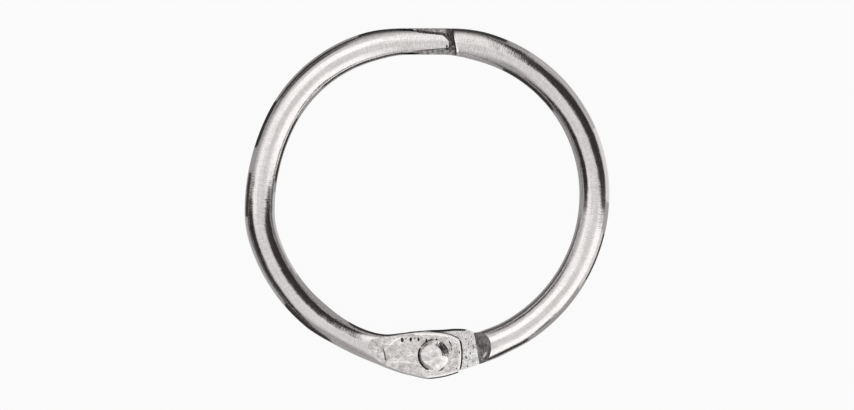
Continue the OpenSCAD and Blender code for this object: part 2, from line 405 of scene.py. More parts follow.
def pit(x, y, z, width, length, depth, turn=0.0):
    """A small round-bottomed dent."""
    bm = bmesh.new()
    bmesh.ops.create_icosphere(bm, subdivisions=3, radius=1)
    matrix = (Matrix.Translation((x, y, z)) @ Matrix.Rotation(math.radians(turn), 4, "Z")
              @ Matrix.Diagonal((width / 2, length / 2, depth, 1)))
    bmesh.ops.transform(bm, matrix=matrix, verts=bm.verts)
    return bm


def half_blank(name, stations, hinge, bore_r):
    """One half before its closure is cut, with its lug in the lower half of the wire."""
    half = made(name, swept(stations), plated)
    rise = WIRE_D + OVER - MID_Z
    lap = slab([
        (-FAR, 0), (SHOULDER_REACH, 0),
        (SHOULDER_REACH + rise / math.tan(SHOULDER_SLOPE), rise), (-FAR, rise),
    ], SHOULDER_TURN)
    joined(half, made("lap", moved(lap, hinge[0], hinge[1], MID_Z - LAP_GAP / 2), lapped))
    foot = SHOULDER_REACH + TOUCH * (1 + 1 / math.tan(SHOULDER_SLOPE))
    crest = foot + rise / math.tan(SHOULDER_SLOPE)
    # The shoulder's slope is cut in its own darker finish, as painted shade
    slope = slab([
        (foot - 1, TOUCH), (foot, TOUCH), (crest, rise + TOUCH), (foot - 1, rise + TOUCH),
    ], SHOULDER_TURN)
    joined(half, made("slope", moved(slope, hinge[0], hinge[1], MID_Z - LAP_GAP / 2), shoulder_painted_shade))
    drop = HEAD_H + OVER
    scarf = slab([
        (-FAR, 0), (SCARF_REACH, 0),
        (SCARF_REACH + drop / math.tan(SCARF_SLOPE), -drop), (-FAR, -drop),
    ])
    joined(half, made("scarf", moved(scarf, hinge[0], hinge[1], HEAD_H), pressed))
    away, back = -LUG_REACH - FAR, -LUG_REACH + LUG_END_R / 2
    past = prism([(away, -FAR), (back, -FAR), (back, FAR), (away, FAR)], -OVER, WIRE_D + OVER)
    end = made("end", moved(past, hinge[0], hinge[1]), pressed)
    arc_x = hinge[0] + LUG_END_R - LUG_REACH
    arc = post(LUG_END_R, LUG_END_R, -2 * OVER, WIRE_D + 2 * OVER, arc_x, hinge[1])
    joined(end, made("arc", arc, pressed))
    joined(half, end)
    joined(half, made("bore", post(bore_r, bore_r, -OVER, WIRE_D + OVER, *hinge), pressed))
    return half


def tongue_sides(first_x, above, below):
    """Upper and lower side of the tongue in plan, from joint to tip, each side moved out."""
    corner = Vector((TONGUE_LEN - TIP_CORNER, TONGUE_TIP_W / 2 - TIP_CORNER))
    upper = [
        (-TONGUE_BLEND, TIP_R + above), (0, TONGUE_ROOT_W / 2 + above),
        (TONGUE_MID_X, TONGUE_MID_W / 2 + above),
    ]
    for i in range(CORNER_STEPS + 1):
        a = math.radians(90 - 90 * i / CORNER_STEPS)
        squareness = (math.cos(a) + math.sin(a)) ** CORNER_EASE
        reach = TIP_CORNER * CORNER_FULLNESS / max(CORNER_FULLNESS, squareness) + above
        upper.append((corner[0] + reach * math.cos(a), corner[1] + reach * math.sin(a)))
    lower = [
        (-TONGUE_BLEND, -TIP_R - below), (0, -TONGUE_ROOT_W / 2 - below),
        (TONGUE_MID_X, -TONGUE_MID_W / 2 - below),
        (TONGUE_LEN - LOW_CORNER, -TONGUE_TIP_W / 2 - below),
        (TONGUE_LEN + above, -TONGUE_TIP_W / 2 + LOW_CORNER),
    ]
    return [p for p in upper if p[0] >= first_x], [p for p in lower if p[0] >= first_x]


def around_tongue(first_x, z0, z1):
    """A prism of everything beside and past the tongue, from x = first_x on."""
    upper, lower = tongue_sides(first_x, TONGUE_DRAWN_IN, 0)
    corners = [(first_x, -FAR), (FAR, -FAR), (FAR, FAR)]
    outline = [(first_x, FAR)] + upper + lower[::-1] + corners
    return moved(prism(outline, z0, z1), joint, closure_y)


span = [along(bends, 90)[0] for bends in (LEFT_BENDS, RIGHT_BENDS)]
closure_x = (span[0] - span[1]) / 2
hinge_drop = HINGE_FALL - along(RIGHT_BENDS, full_turn(RIGHT_BENDS))[1]
closure_y = (hinge_drop + LUG_SPREAD * WIRE_R - TIP_R) / 2
hinge_y = closure_y - hinge_drop
joint = closure_x - JOINT_X
tip = joint + TONGUE_LEN
tooth_x = tip - TOOTH_BACK
shoulder_x = tip + TIP_GAP

# ---------------------------------------------------------------- marks
# Share of its width that a ridge or groove keeps at its ends
BEAD_END = 0.2
# Seams beside the tongue's root, grooves with painted shade in them: points in plan, width, height.
# They are cut at SEAM_Z, and again, half as high, at the rims
SEAM_Z = 2.44
SEAMS = [
    ([(-3.6, 18.08), (-2.9, 18.06), (-2.3, 18.02), (-1.6, 17.96), (-0.9, 17.87),
      (-0.2, 17.79)], 0.3, 0.4),
    ([(-3.0, 15.52), (-2.3, 15.56), (-1.6, 15.6), (-0.8, 15.62)], 0.2, 0.4),
]
# Lip round the wire at the cradle's shoulder, in the worn finish, whose brighter colour is a
# painted highlight
RIM_MIDDLE = (3.03, 16.65)
RIM_TURN = -10
RIM_HALF_W = 1.39
RIM_PROUD = 0.012
RIM_THICK = 0.17

# Stamped marks of the front lug, in plan. The panel sinks towards its left edge
FACE_Z = WIRE_D - HEAD_H
PANEL_FALL = 1.2
RIDGE_SINK = 0.01
PANEL = [
    (-4.55, -14.72), (-4.24, -14.66), (-3.9, -14.71), (-3.66, -14.55), (-3.42, -14.26),
    (-3.0, -14.08), (-2.68, -13.98), (-2.2, -14.0), (-1.4, -14.02), (-0.9, -14.1), (-0.85, -16.5),
    (-1.3, -16.5), (-1.87, -16.38), (-2.39, -16.45), (-2.9, -16.33), (-3.48, -16.38),
    (-3.95, -16.3), (-4.2, -16.36), (-4.3, -16.06), (-4.34, -15.55), (-4.5, -15.1),
]
PANEL_DEPTH = 0.1
# Dents, with painted shade in them: middle in plan, width, length, depth, turn in degrees
PITS = [
    (-2.57, -14.17, 0.32, 0.5, 0.26, 8), (-1.69, -14.12, 0.28, 0.44, 0.24, -5),
    (-0.88, -14.1, 0.22, 0.4, 0.2, 0), (-0.06, -14.26, 0.2, 0.42, 0.2, 6),
    (0.98, -14.2, 0.24, 0.36, 0.2, -10), (-2.2, -14.05, 0.15, 0.18, 0.12, 0),
    (-1.25, -13.98, 0.15, 0.16, 0.12, 0), (0.42, -14.14, 0.2, 0.24, 0.14, 0),
    (3.36, -15.45, 0.12, 0.34, 0.1, 0), (3.05, -17.1, 0.14, 0.1, 0.08, 0),
    (0.12, -17.5, 0.1, 0.14, 0.08, 0),
]
# Grooves, with painted shade in them: points in plan, width, height
GROOVES = [
    ([(2.25, -14.2), (2.4, -14.5), (2.62, -14.86)], 0.15, 0.07),
    ([(2.45, -14.75), (2.56, -15.1), (2.6, -15.4)], 0.09, 0.035),
    ([(-4.62, -14.78), (-4.55, -15.15), (-4.4, -15.6), (-4.34, -16.1),
      (-4.24, -16.38)], 0.14, 0.09),
    ([(1.18, -17.42), (1.5, -17.24), (1.82, -16.96)], 0.16, 0.1),
]
# Ridges of the panel, in the worn finish, whose brighter colour is a painted highlight: points in
# plan, width, height
RIDGES = [
    ([(-4.72, -14.66), (-4.3, -14.6), (-3.95, -14.64), (-3.68, -14.48), (-3.45, -14.2),
      (-3.05, -14.02), (-2.7, -13.92)], 0.22, 0.07),
    ([(-4.84, -14.72), (-4.74, -15.1), (-4.6, -15.5), (-4.5, -15.9)], 0.2, 0.06),
    ([(-4.1, -16.42), (-3.4, -16.46), (-2.9, -16.4), (-2.3, -16.52), (-1.8, -16.46),
      (-1.3, -16.6)], 0.2, 0.05),
]
# Brim inside the front lug's edge, in the worn finish, whose brighter colour is a painted edge
# highlight. It starts BRIM_START before the hinge, and on the outside
# BRIM_SKIPPED cross-sections later
BRIM_W, BRIM_H, BRIM_INSET = 0.26, 0.02, 0.24
BRIM_START, BRIM_STOP, BRIM_SKIPPED = 2.4, 0.15, 6
# Grooves with painted shade in them along the edges of the lugs: width, height, and depth below the
# face
EDGE_INSET = 0.03
OUTER_START, OUTER_OUT = 0.9, 0.03
OUTER_W, OUTER_H, OUTER_SINK = 0.62, 0.5, 0.25
INNER_START, INNER_STOP = 4.3, 1.2
INNER_W, INNER_H, INNER_SINK = 0.26, 0.3, 0.2
REAR_EDGE = (-2.0, 4.25)
REAR_W, REAR_H = 0.36, 0.4
LUG_END_STEPS, LUG_END_TURN = 7, 2.15
END_SHADE, END_SHADE_SPREAD, END_SHADE_H = 0.15, 1.3, 0.16
# Arcs of painted shade round the rivet's head, cut as grooves: turns from and to, width
CRESCENT_R = HEAD_R + 0.05
CRESCENTS = [(152, 250, 0.24), (92, 148, 0.13)]
CRESCENT_STEPS, CRESCENT_H = 14, 0.7
# Nick in the tongue's top, with painted shade in it
NICK = (2.06, 16.3, TONGUE_TOP, 0.2, 0.34, 0.2, 0)
# Dent in the rear shoulder's slope, cut in the brighter pressed finish: a painted glint on the
# shaded slope
SLOPE_GLINT = (5.92, -15.85, 2.4, 0.3, 1.7, 0.36, -33)
# Dents in the rear lug, cut in the dull finish, whose darker colour is painted shade in them
REAR_PITS = [
    (4.06, -16.0, 0.2, 0.36, 0.09, 20), (4.3, -14.6, 0.14, 0.24, 0.06, -30),
    (4.5, -15.55, 0.12, 0.3, 0.07, 5), (4.05, -14.1, 0.2, 0.16, 0.06, 0),
    (4.75, -16.45, 0.2, 0.14, 0.06, 40), (4.2, -16.9, 0.14, 0.2, 0.07, 0),
    (4.85, -14.9, 0.12, 0.5, 0.05, 8),
]


def lug_end(hinge, way, inset=0.0):
    """Arc in plan of a lug's end, which points along +X or -X."""
    found = []
    for i in range(-LUG_END_STEPS, LUG_END_STEPS + 1):
        a = math.radians(LUG_END_TURN * i)
        reach = LUG_REACH - inset - LUG_END_R * (1 - math.cos(a))
        found.append((hinge[0] + way * reach, hinge[1] + LUG_END_R * math.sin(a)))
    return found


def lug_sides(stations, hinge, inset, first, last):
    """Inner and outer side in plan of a lug, between two distances before its hinge."""
    used = [where for where in stations if where[1] < 0 and first > where[0] - hinge[0] > last]
    return ([(where[0], where[1] + where[3] - inset) for where in used],
            [(where[0], where[1] - where[4] + inset) for where in used])


def left_half():
    hinge = Vector((-HINGE_X, hinge_y))
    start = Vector((CLOSURE_FLAT / 2 - closure_x, closure_y))
    stations = half_stations(start, -tip, hinge, LEFT_BENDS, LEFT_ROOT, LEFT_PULL, LEFT_RISE)
    half = half_blank("left_wire", stations, hinge, RIVET_R)
    half.data.transform(Matrix.Translation((0, 0, WIRE_D)) @ Matrix.Rotation(math.pi, 4, "Y"))
    # The tongue's sides are cut in the dull finish, whose darker colour is painted shade
    joined(half, made("sides", around_tongue(-TONGUE_BLEND, RIM_Z, WIRE_D + OVER), dull_with_painted_shade))
    joined(half, made("keel_sides", around_tongue(0, -OVER, RIM_Z), dull_with_painted_shade))
    under = prism([(joint, -FAR), (FAR, -FAR), (FAR, FAR), (joint, FAR)], -OVER, KEEL_Z)
    joined(half, made("underside", moved(under, 0, closure_y), pressed))
    notch = moved(barrel(TOOTH_H + JOINT_CLEAR, FAR, tooth_x, KEEL_Z), 0, closure_y)
    joined(half, made("notch", notch, pressed))
    panel = prism(PANEL, FACE_Z - PANEL_DEPTH, WIRE_D)
    right = max(x for x, y in PANEL)
    left = min(x for x, y in PANEL)
    for vert in panel.verts:
        if vert.co.z < FACE_Z:
            vert.co.z += PANEL_DEPTH * (vert.co.x - left) / (right - left) * PANEL_FALL
    joined(half, made("panel", panel, pressed))
    for points, width, height in RIDGES:
        joined(half, made("ridge", bead(points, FACE_Z - RIDGE_SINK, width, height), worn_with_painted_highlight), "UNION")
    for points, width, height in GROOVES:
        joined(half, made("groove", bead(points, FACE_Z, width, height), dark))
    inner, outer = lug_sides(stations, hinge, BRIM_INSET, BRIM_START, BRIM_STOP - LUG_REACH)
    for points in (inner, outer[BRIM_SKIPPED:], lug_end(hinge, -1, BRIM_INSET / 2)):
        brim = bead([(-x, y) for x, y in points], FACE_Z, BRIM_W, BRIM_H)
        joined(half, made("brim", brim, worn_with_painted_highlight))
    outer = lug_sides(stations, hinge, EDGE_INSET, OUTER_START, -LUG_REACH)[1]
    line = [(-x, y - OUTER_OUT) for x, y in outer]
    joined(half, made("outer_edge", bead(line, FACE_Z - OUTER_SINK, OUTER_W, OUTER_H), dark))
    inner = lug_sides(stations, hinge, EDGE_INSET, INNER_START, INNER_STOP)[0]
    line = [(-x, y) for x, y in inner]
    joined(half, made("inner_edge", bead(line, FACE_Z - INNER_SINK, INNER_W, INNER_H), dark))
    for first, last, width in CRESCENTS:
        turns = [math.radians(first + (last - first) * i / CRESCENT_STEPS)
                 for i in range(CRESCENT_STEPS + 1)]
        crescent = [(HINGE_X + CRESCENT_R * math.cos(a), hinge_y + CRESCENT_R * math.sin(a))
                    for a in turns]
        joined(half, made("crescent", bead(crescent, FACE_Z, width, width * CRESCENT_H), dark))
    for points, width, height in SEAMS:
        joined(half, made("seam", bead(points, SEAM_Z, width, height), dark))
        joined(half, made("low_seam", bead(points, RIM_Z, width, height / 2), dark))
    joined(half, made("nick", pit(*NICK), dark))
    for x, y, width, length, depth, turn in PITS:
        joined(half, made("pit", pit(x, y, FACE_Z, width, length, depth, turn), dark))
    return half


def right_half():
    hinge = Vector((HINGE_X, hinge_y))
    start = Vector((closure_x + CLOSURE_FLAT / 2, closure_y))
    stations = half_stations(
        start, joint + END_SLIT, hinge, RIGHT_BENDS, RIGHT_ROOT, RIGHT_PULL, RIGHT_RISE)
    half = half_blank("right_wire", stations, hinge, RIVET_R + SHANK_CLEAR)
    lean = FAR / 2 * math.tan(CRADLE_TILT)
    top = WIRE_D + OVER
    # The shoulder's wall is cut in the dark finish, as painted shade
    front = slab([
        (-FAR, RIM_Z), (0, RIM_Z), (SHOULDER_LEAN, WIRE_D), (SHOULDER_LEAN, top), (-FAR, top),
    ], CRADLE_TILT)
    joined(half, made("front", moved(front, shoulder_x, closure_y), dark))
    # Rims, trough and tooth are cut in the dull finish, whose darker colour is painted shade
    rims = prism([(-FAR, -FAR / 2), (lean, -FAR / 2), (-lean, FAR / 2), (-FAR, FAR / 2)],
                 RIM_Z - TOUCH, RIM_Z + OVER)
    joined(half, made("rims", moved(rims, shoulder_x - TOUCH, closure_y), dull_with_painted_shade))
    upper, lower = tongue_sides(-TONGUE_BLEND, SIDE_CLEAR, LOW_CLEAR)
    trough = prism(upper + lower[::-1], FLOOR_Z, WIRE_D + OVER)
    trough = made("trough", moved(trough, joint, closure_y), dull_with_painted_shade)
    tooth = moved(barrel(TOOTH_H, FAR, tooth_x, FLOOR_Z), 0, closure_y)
    joined(trough, made("tooth", tooth, dull_with_painted_shade))
    joined(half, trough)
    # The relief is cut in the dull finish, and a deeper pocket at its top in the dark finish: both
    # painted shade
    low = -TONGUE_TIP_W / 2 - SIDE_CLEAR
    for level, start, end, finish in ((RELIEF_Z, RELIEF_START, low, dull_with_painted_shade),
                                      (RELIEF_Z - TIP_POCKET, POCKET_START, POCKET_END, dark)):
        relief = prism([
            (start, end), (-end * math.tan(CRADLE_TILT), end),
            (-lean, FAR / 2), (start, FAR / 2),
        ], level, RIM_Z + TOUCH)
        joined(half, made("relief", moved(relief, shoulder_x, closure_y), finish))

    for points, width, height in SEAMS:
        joined(half, made("seam", bead(points, RIM_Z, width, height / 2), dark))
    turn = math.radians(RIM_TURN)
    across = Vector((math.cos(turn), -math.sin(turn))) * RIM_THICK / 2
    lip = [
        station(Vector(RIM_MIDDLE) + way * across, RIM_TURN, RIM_HALF_W, RIM_HALF_W,
                WIRE_R + RIM_PROUD, RIM_HALF_W)
        for way in (-1, 1)
    ]
    joined(half, made("lip", swept(lip), worn_with_painted_highlight), "UNION")

    lap_z = MID_Z - LAP_GAP / 2
    edge = [(where[0], where[1] + where[3] - EDGE_INSET) for where in stations
            if where[1] < 0 and REAR_EDGE[0] < where[0] < REAR_EDGE[1]]
    joined(half, made("upper_edge", bead(edge, lap_z, REAR_W, REAR_H), dark))
    shade = [(x + END_SHADE / 2, y) for x, y in lug_end(hinge, 1)]
    shade = bead(shade, lap_z, END_SHADE * END_SHADE_SPREAD, END_SHADE_H)
    joined(half, made("end_shade", shade, dark))
    joined(half, made("glint", pit(*SLOPE_GLINT), pressed))
    for x, y, width, length, depth, turn in REAR_PITS:
        joined(half, made("pit", pit(x, y, lap_z, width, length, depth, turn), dull_with_painted_shade))
    return half


def rivet(material):
    tail = made("rivet", post(TAIL_R - HEAD_H, TAIL_R, 0, HEAD_H - LAP_GAP), material)
    shank_top = WIRE_D - HEAD_H
    shank = post(RIVET_R, RIVET_R, HEAD_H / 2, shank_top + HEAD_H / 4)
    joined(tail, made("shank", shank, material), "UNION")
    edge = HEAD_H / 10
    head = bmesh.new()
    bmesh.ops.create_circle(head, cap_ends=True, segments=SIDES, radius=HEAD_R,
                            matrix=Matrix.Translation((0, 0, shank_top)))
    bmesh.ops.reverse_faces(head, faces=head.faces)
    sides = grown_rim(head, head.edges)[0]
    bmesh.ops.translate(head, verts=sides, vec=(0, 0, edge))
    flat = grown_rim(head, [e for e in head.edges if e.is_boundary])[0]
    share = HEAD_FLAT_R / HEAD_R
    bmesh.ops.scale(head, verts=flat, vec=(share, share, 1))
    bmesh.ops.translate(head, verts=flat, vec=(-HEAD_LEAN, 0, HEAD_H - edge))
    close_ends(head)
    joined(tail, made("head", head, material), "UNION")
    tail.data.transform(Matrix.Translation((HINGE_X, hinge_y, 0)))
    return tail


def finished(thing, body, node):
    """Turns a piece into metres, smooths its round faces and lets it stand for its node."""
    bm = bmesh.new()
    bm.from_mesh(thing.data)
    wide = [face for face in bm.faces if len(face.verts) > 4]
    bmesh.ops.triangulate(bm, faces=wide, ngon_method="EAR_CLIP")
    bm.to_mesh(thing.data)
    bm.free()
    thing.data.transform(Matrix.Scale(MM, 4))
    thing.data.shade_smooth()
    thing.data.set_sharp_from_angle(angle=SMOOTH_BELOW)
    drawn = thing.data.materials.find("bright_nickel")
    for face in thing.data.polygons:
        face.use_smooth = face.material_index == drawn or face.area < FLAT_ABOVE
    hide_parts(node)
    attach(thing, body)
    return thing


# ---------------------------------------------------------------- materials
class Nodes:
    """Short calls for building a node tree."""

    def __init__(self, tree):
        self.tree = tree

    def new(self, kind, **settings):
        node = self.tree.nodes.new(kind)
        for name, value in settings.items():
            setattr(node, name, value)
        return node

    def fill(self, socket, value):
        if isinstance(value, bpy.types.NodeSocket):
            self.tree.links.new(value, socket)
        else:
            socket.default_value = value

    def math(self, operation, *values, clamp=False):
        node = self.new("ShaderNodeMath", operation=operation, use_clamp=clamp)
        for socket, value in zip(node.inputs, values):
            self.fill(socket, value)
        return node.outputs[0]

    def mix(self, share, a, b):
        node = self.new("ShaderNodeMix", data_type="FLOAT")
        for socket, value in zip(node.inputs, (share, None, a, b)):
            if value is not None:
                self.fill(socket, value)
        return node.outputs[0]

    def ramp(self, value, low, high, start=0.0, end=1.0):
        """Smooth step of value from start, at low, to end, at high."""
        node = self.new("ShaderNodeMapRange", interpolation_type="SMOOTHSTEP")
        given = (("Value", value), ("From Min", low), ("From Max", high),
                 ("To Min", start), ("To Max", end))
        for name, number in given:
            self.fill(node.inputs[name], number)
        return node.outputs["Result"]

    def vector(self, x, y, z):
        node = self.new("ShaderNodeCombineXYZ")
        for socket, value in zip(node.inputs, (x, y, z)):
            self.fill(socket, value)
        return node.outputs[0]

    def scaled(self, vector, amounts):
        node = self.new("ShaderNodeVectorMath", operation="MULTIPLY")
        self.fill(node.inputs[0], vector)
        self.fill(node.inputs[1], amounts)
        return node.outputs[0]

    def noise(self, vector, scale, detail=2.0, roughness=0.5):
        node = self.new("ShaderNodeTexNoise")
        given = (("Vector", vector), ("Scale", scale), ("Detail", detail), ("Roughness", roughness))
        for name, value in given:
            self.fill(node.inputs[name], value)
        return node.outputs["Fac"]

    def bump(self, height, distance, normal=None):
        node = self.new("ShaderNodeBump")
        self.fill(node.inputs["Height"], height)
        self.fill(node.inputs["Distance"], distance)
        if normal is not None:
            self.fill(node.inputs["Normal"], normal)
        return node.outputs[0]


def group(name, inputs, outputs):
    """A shader node group with named sockets, and its nodes."""
    tree = bpy.data.node_groups.new(name, "ShaderNodeTree")
    for label, kind, value in inputs:
        socket = tree.interface.new_socket(label, in_out="INPUT", socket_type=kind)
        if value is not None:
            socket.default_value = value
    for label in outputs:
        tree.interface.new_socket(label, in_out="OUTPUT", socket_type="NodeSocketFloat")
    nodes = Nodes(tree)
    return tree, nodes, nodes.new("NodeGroupInput").outputs, nodes.new("NodeGroupOutput").inputs


# Marks per millimetre, along the wire and across it
TICKS, STREAKS, WAVES = (6.5, 1.5, 1.5), (0.35, 5, 5), (0.42, 0.5, 0.5)
# The finish is dull up to the first of these lengths from the closure, and bright from the second
CLOSURE_FADE = (6.0, 11.0)
PLATE_GRAIN = 9000
PLATE_DIM, PLATE_BRIGHT = (0.6, 0.578, 0.57), (0.83, 0.802, 0.794)
PRESSED_DIM, PRESSED_BRIGHT = (0.66, 0.63, 0.62), (0.80, 0.77, 0.76)
WAVE_BUMP, MARK_BUMP, GRAIN_BUMP = 0.00005, 0.000008, 0.000012


def polishing_group():
    """Marks of a polished wire, from its length and girth in millimetres."""
    tree, nodes, given, out = group("polishing", [
        ("Wire", "NodeSocketVector", None), ("Radius", "NodeSocketFloat", WIRE_R),
    ], ["Ticks", "Streaks", "Waves", "Near Closure"])
    split = nodes.new("ShaderNodeSeparateXYZ")
    nodes.fill(split.inputs[0], given["Wire"])
    length, girth = split.outputs[0], split.outputs[1]
    angle = nodes.math("DIVIDE", girth, given["Radius"])
    around = nodes.vector(
        length, nodes.math("MULTIPLY", given["Radius"], nodes.math("COSINE", angle)),
        nodes.math("MULTIPLY", given["Radius"], nodes.math("SINE", angle)))
    nodes.fill(out["Ticks"], nodes.noise(nodes.scaled(around, TICKS), 1.0, 3.0, 0.6))
    nodes.fill(out["Streaks"], nodes.noise(nodes.scaled(around, STREAKS), 1.0, 3.0, 0.6))
    nodes.fill(out["Waves"], nodes.noise(nodes.scaled(around, WAVES), 1.0, 2.0, 0.5))
    nodes.fill(out["Near Closure"], nodes.ramp(length, *CLOSURE_FADE, 1.0, 0.0))
    return tree


def pressing_group():
    """Dents and grain of a pressed face, from a place in metres."""
    tree, nodes, given, out = group("pressing", [
        ("Place", "NodeSocketVector", None), ("Dent", "NodeSocketFloat", 0.5),
        ("Grain", "NodeSocketFloat", 0.12),
    ], ["Dents", "Grain", "Patches"])

    def per_metre(size):
        return nodes.math("DIVIDE", 1000.0, size)

    nodes.fill(out["Dents"], nodes.noise(given["Place"], per_metre(given["Dent"]), 4.0, 0.62))
    nodes.fill(out["Grain"], nodes.noise(given["Place"], per_metre(given["Grain"]), 2.0, 0.6))
    patch = per_metre(nodes.math("MULTIPLY", given["Dent"], 3.0))
    nodes.fill(out["Patches"], nodes.noise(given["Place"], patch, 2.0, 0.5))
    return tree


def placed_group(nodes, tree, **values):
    node = nodes.new("ShaderNodeGroup")
    node.node_tree = tree
    for name, value in values.items():
        nodes.fill(node.inputs[name], value)
    return node.outputs


def metal(name):
    material = bpy.data.materials.new(name)
    material.use_nodes = True
    shader = material.node_tree.nodes["Principled BSDF"]
    shader.inputs["Metallic"].default_value = 1
    return material, Nodes(material.node_tree), shader.inputs


def tinted(nodes, socket, share, dark, light):
    node = nodes.new("ShaderNodeMix", data_type="RGBA")
    nodes.fill(node.inputs[0], share)
    nodes.fill(node.inputs[6], (*dark, 1))
    nodes.fill(node.inputs[7], (*light, 1))
    nodes.fill(socket, node.outputs[2])


polishing = polishing_group()
pressing = pressing_group()


def bright_nickel():
    """Polished nickel plate on drawn wire, duller towards the closure."""
    material, nodes, shader = metal("bright_nickel")
    wire = nodes.new("ShaderNodeUVMap", uv_map="wire").outputs[0]
    marks = placed_group(nodes, polishing, Wire=wire)
    place = nodes.new("ShaderNodeTexCoord").outputs["Object"]
    grain = nodes.noise(place, PLATE_GRAIN, 2.0, 0.6)
    wear = nodes.math(
        "ADD", nodes.math("MULTIPLY", marks["Ticks"], 0.5),
        nodes.math("MULTIPLY", marks["Streaks"], 0.5))
    speck = nodes.math("ADD", nodes.math("MULTIPLY", wear, 0.6), nodes.math("MULTIPLY", grain, 0.4))
    low, high = (nodes.mix(marks["Near Closure"], *ends) for ends in ((0.34, 0.42), (0.66, 0.58)))
    tinted(nodes, shader["Base Color"], nodes.ramp(speck, low, high), PLATE_DIM, PLATE_BRIGHT)
    rough = nodes.ramp(wear, 0.3, 0.72, 0.09, 0.2)
    rough = nodes.math("ADD", rough, nodes.math("MULTIPLY", marks["Near Closure"], 0.1))
    nodes.fill(shader["Roughness"], rough)
    normal = nodes.bump(marks["Waves"], WAVE_BUMP)
    normal = nodes.bump(marks["Streaks"], MARK_BUMP, normal)
    normal = nodes.bump(marks["Ticks"], MARK_BUMP, normal)
    satin = nodes.math("MULTIPLY", grain, nodes.ramp(marks["Near Closure"], 0, 1, 0.25, 1.0))
    nodes.fill(shader["Normal"], nodes.bump(satin, GRAIN_BUMP, normal))
    return material


def pressed_nickel(name, dent, depth, low, high, shade=1.0, spread=0.0):
    """Nickel plate on a pressed or cut face, dented and grainy. shade scales its whole colour: the
    dull, dark and shoulder finishes use it for painted shade, the worn finish for a painted
    highlight.
    """
    material, nodes, shader = metal(name)
    place = nodes.new("ShaderNodeTexCoord").outputs["Object"]
    marks = placed_group(nodes, pressing, Place=place, Dent=dent)
    low_share, high_share = shade * (1 - spread), shade * (1 + spread)
    dim = tuple(min(1, low_share * c) for c in PRESSED_DIM)
    bright = tuple(min(1, high_share * c) for c in PRESSED_BRIGHT)
    tinted(nodes, shader["Base Color"], nodes.ramp(marks["Dents"], 0.3, 0.7), dim, bright)
    wear = nodes.math(
        "ADD", nodes.math("MULTIPLY", marks["Patches"], 0.6),
        nodes.math("MULTIPLY", marks["Grain"], 0.4))
    nodes.fill(shader["Roughness"], nodes.ramp(wear, 0.35, 0.65, low, high))
    normal = nodes.bump(marks["Dents"], depth)
    nodes.fill(shader["Normal"], nodes.bump(marks["Grain"], depth / 4, normal))
    return material


plated = bright_nickel()
pressed = pressed_nickel("pressed_nickel", 0.5, 0.00022, 0.24, 0.42, shade=1.02, spread=0.18)
hammered = pressed_nickel("hammered_rivet", 0.6, 0.00006, 0.14, 0.28, spread=0.16)
# Cut faces: duller, rougher plating, with the colour halved as painted shade on the cut and
# recessed faces
dull_with_painted_shade = pressed_nickel("dull_cut_face_painted_shade", 0.3, 0.0001, 0.4, 0.6, shade=0.5, spread=0.5)
# Painted shade: colour far darker than the plate, in grooves, dents, seams, gaps and the cradle's
# pocket
dark = pressed_nickel("painted_shade_recess", 0.3, 0.0001, 0.45, 0.65, shade=0.17, spread=0.3)
# The shoulder's slope: its darker colour is painted shade
shoulder_painted_shade = pressed_nickel("shoulder_slope_painted_shade", 0.6, 0.0002, 0.45, 0.65, shade=0.42, spread=0.5)
lapped = pressed_nickel("lapped_nickel", 0.8, 0.0003, 0.2, 0.36, shade=1.3, spread=0.24)
# Ridges, brims and the lip: worn edges, with colour lifted above the plate's as a painted highlight
worn_with_painted_highlight = pressed_nickel("worn_edge_painted_highlight", 0.4, 0.00004, 0.25, 0.4, shade=1.28)
finished(left_half(), "left", "left_half")
finished(right_half(), "right", "right_half")
finished(rivet(hammered), "left", "hinge_rivet")


# ---------------------------------------------------------------- stage
# How square the corners of a panel are: 2 is round
PANEL_POWER = 3


def wall_patch(nodes, azimuth, height, middle_a, middle_h, half_a, half_h, tilt, soft):
    """Mask of a soft-edged panel, by the compass angle and height of a ray in degrees."""
    across = nodes.math("WRAP", nodes.math("SUBTRACT", azimuth, middle_a), 180, -180)
    up = nodes.math("SUBTRACT", nodes.math("SUBTRACT", height, middle_h),
                    nodes.math("MULTIPLY", across, tilt))
    across = nodes.math("ABSOLUTE", nodes.math("DIVIDE", across, half_a))
    across = nodes.math("POWER", across, PANEL_POWER)
    up = nodes.math("POWER", nodes.math("ABSOLUTE", nodes.math("DIVIDE", up, half_h)), PANEL_POWER)
    reach = nodes.math("POWER", nodes.math("ADD", across, up), 1 / PANEL_POWER)
    return nodes.ramp(reach, 1 - soft, 1 + soft, 1.0, 0.0)


# Light panels, then dark flags, round the table. Compass angle and height of the middle, half-width
# and half-height, slope from end to end, softness, brightness
STUDIO = [
    (118, 64, 42, 20, 0, 0.35, 1.42),
    (164, 50, 22, 17, -0.1, 0.4, 1.2),
    (80, 45, 14, 28, 0, 0.35, 1.22),
    (318, 12, 42, 38, 0.2, 0.35, 1.38),
    (240, 10, 11, 30, 0, 0.5, 0.45),
    (132, 0, 20, 17, 0, 0.5, 0.06),
    (311, 3, 4, 6, 1, 0.3, 0.05),
    (27, 31, 35, 34, 0.5, 0.1, 0.045),
    (63, 15, 12, 29, -3, 0.25, 0.045),
    (193, 14, 19, 25, -0.25, 0.14, 0.035),
    (221, 5, 16, 21, -1, 0.25, 0.045),
]
ZENITH, SKIRT, SKIRT_TOP = 0.86, 0.28, 42
WARM_DARK, WARM_BELOW = 0.88, 0.6


